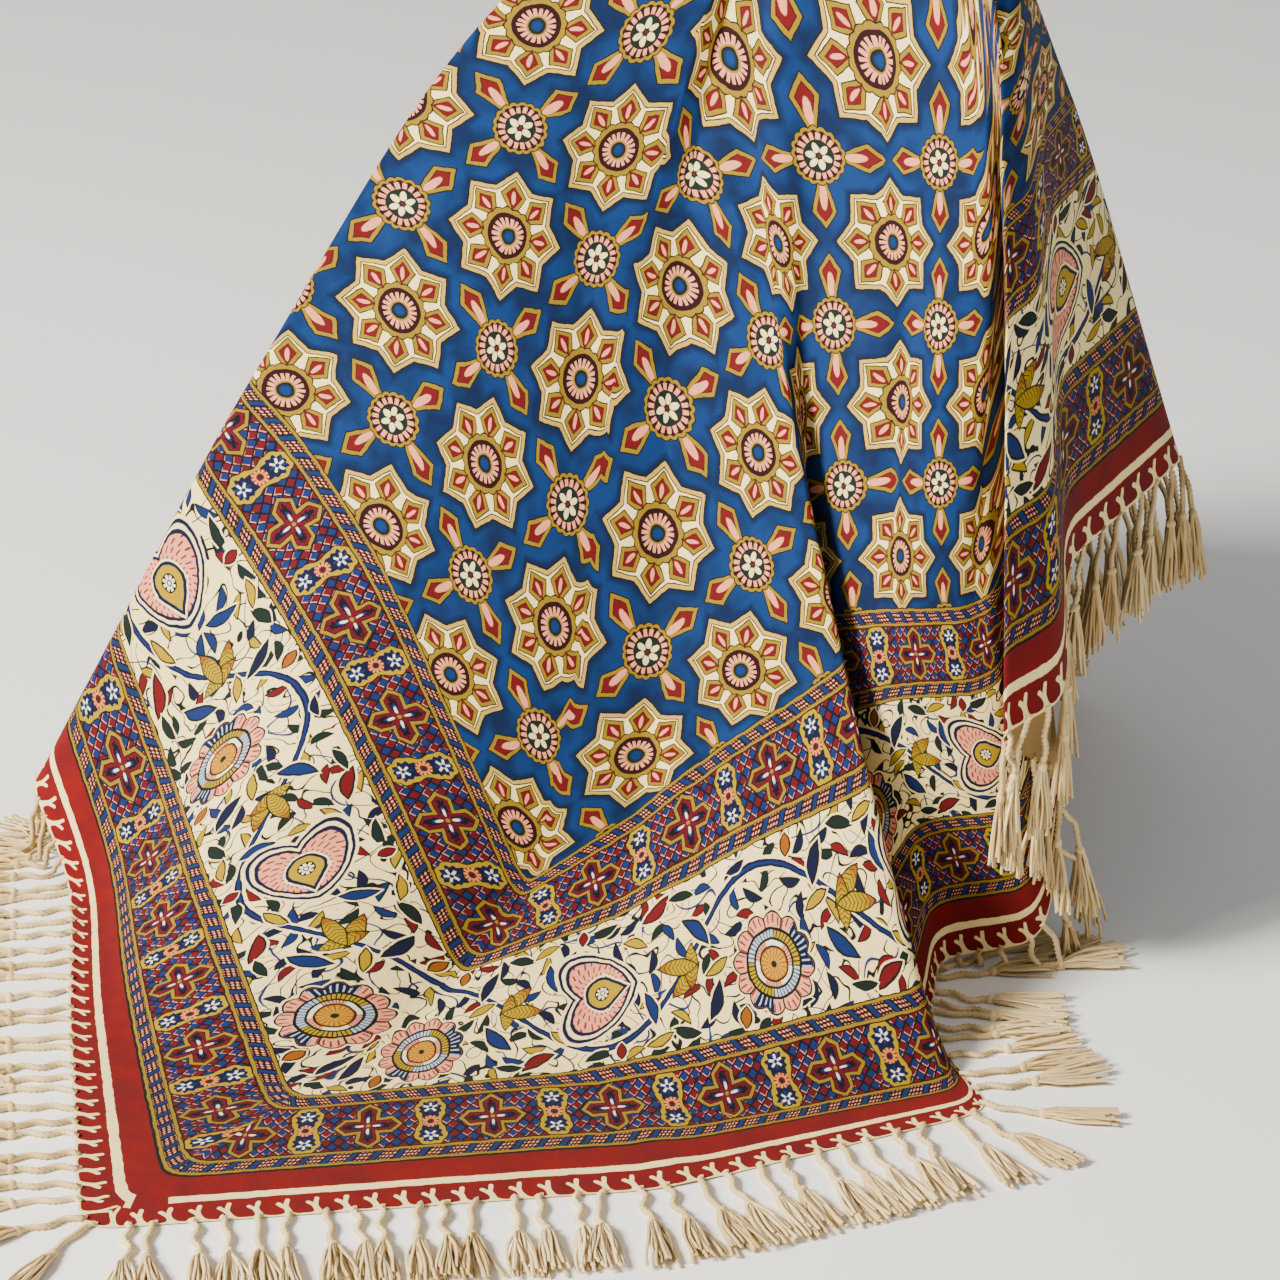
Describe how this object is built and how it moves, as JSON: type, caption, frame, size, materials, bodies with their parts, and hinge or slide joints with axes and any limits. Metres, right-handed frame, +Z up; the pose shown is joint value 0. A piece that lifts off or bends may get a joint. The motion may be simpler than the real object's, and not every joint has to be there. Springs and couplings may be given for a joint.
{
  "type": "draped printed cotton cloth",
  "caption": "Square block-printed cotton cloth with a fringed hem, hanging in deep folds from a rounded top to one corner spread on the floor.",
  "frame": {"origin": "centre of the draped cloth's outline at floor level, fringe included", "axes": "+Z up, +X to the right and +Y away from the viewer, with the spread corner at the front left"},
  "size_m": [0.7418, 1.0629, 0.6676],
  "materials": {
    "printed_cotton": "matt woven cotton, printed on the face",
    "fringe_cotton": "matt twisted cotton yarn"
  },
  "bodies": {
    "root": {"cloth": "printed_cotton", "front_fringe": "fringe_cotton", "right_fringe": "fringe_cotton", "back_fringe": "fringe_cotton", "left_fringe": "fringe_cotton"}
  },
  "joints": []
}
